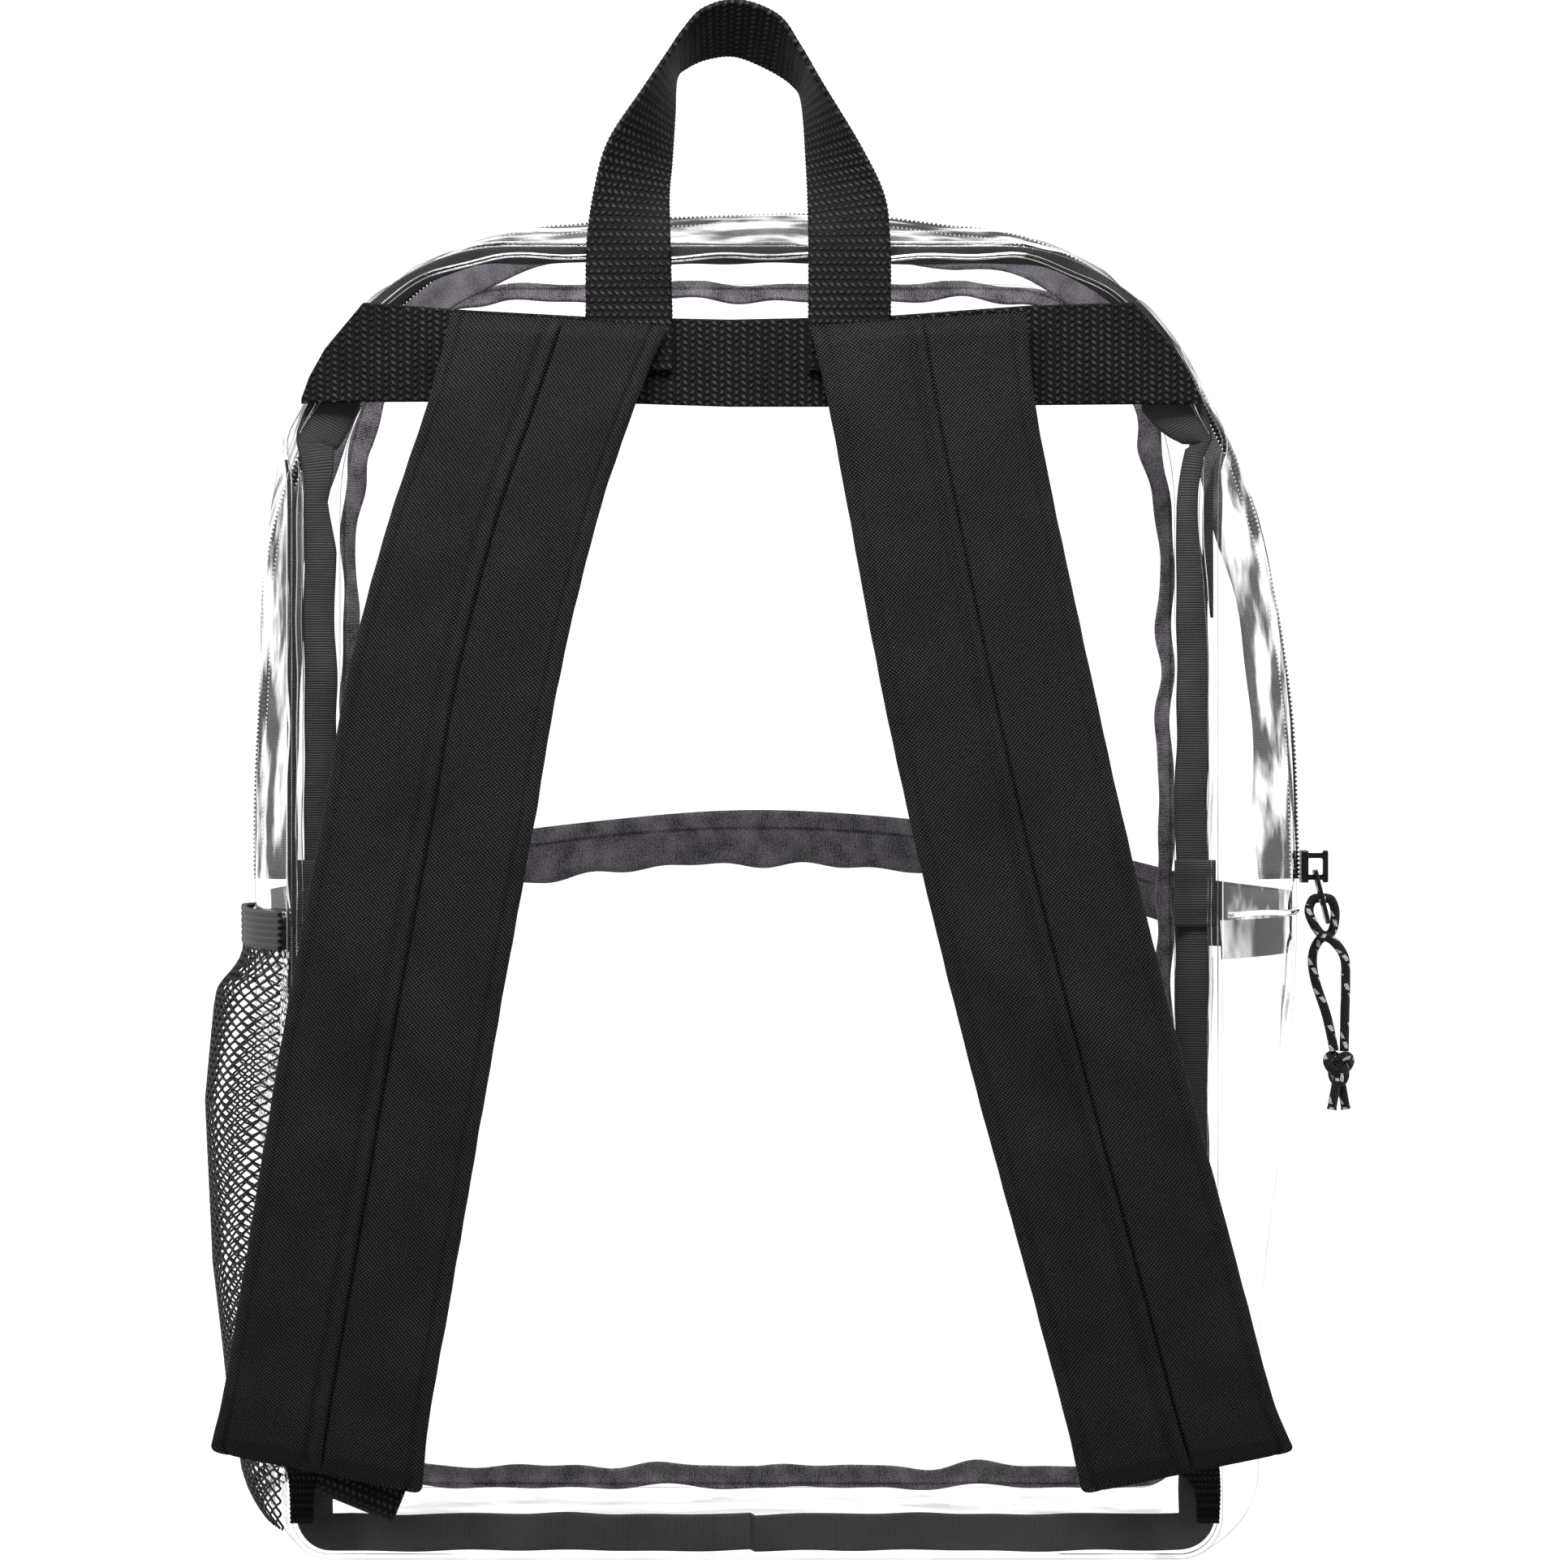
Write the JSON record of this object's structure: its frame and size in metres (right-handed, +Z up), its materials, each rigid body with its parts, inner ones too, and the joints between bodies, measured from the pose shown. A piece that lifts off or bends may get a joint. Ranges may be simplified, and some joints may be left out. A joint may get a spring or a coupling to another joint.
{
  "type": "clear backpack",
  "caption": "Clear vinyl day pack with black bound seams, padded shoulder straps, a carry handle, a net side pocket and a zip that runs over its top.",
  "frame": {"origin": "on the floor under the middle of the bag's base", "axes": "+Z up; -Y is the worn side with the straps; +X is to the right of someone who looks at that side, where the zip pull hangs"},
  "size_m": [0.3895, 0.1924, 0.5019],
  "materials": {
    "clear_vinyl": "clear, glossy",
    "binding": "ribbed polyester binding",
    "webbing": "chevron-woven black webbing",
    "strap_fabric": "black plain-weave polyester over foam",
    "zip": "black zip tape with a nylon coil",
    "pull_metal": "black, semi-gloss",
    "cord": "black braided cord with white flecks",
    "net": "black knitted net",
    "elastic": "ribbed elastic",
    "buckle_plastic": "black moulded plastic"
  },
  "bodies": {
    "root": {"back_panel": "clear_vinyl", "gusset_back": "clear_vinyl", "gusset_front": "clear_vinyl", "gusset_lower": "clear_vinyl", "front_panel": "clear_vinyl", "pocket_panel": "clear_vinyl", "pocket_zip_tape": "zip", "pocket_zip_coil": "zip", "pocket_slider": "pull_metal", "binding_back": "binding", "binding_front": "binding", "binding_right": "binding", "binding_left": "binding", "zip_tape": "zip", "zip_coil": "zip", "net_panel": "net", "net_elastic": "elastic", "back_band": "webbing", "carry_handle": "webbing", "strap_left": "strap_fabric", "strap_right": "strap_fabric", "buckle_left": "buckle_plastic", "buckle_right": "buckle_plastic", "adjuster_left": "webbing", "adjuster_right": "webbing", "webbing_roll": "webbing", "zip_slider": "pull_metal", "pull_tab": "pull_metal", "pull_cord_inner": "cord", "pull_cord_outer": "cord", "pull_knot": "cord"}
  },
  "joints": []
}
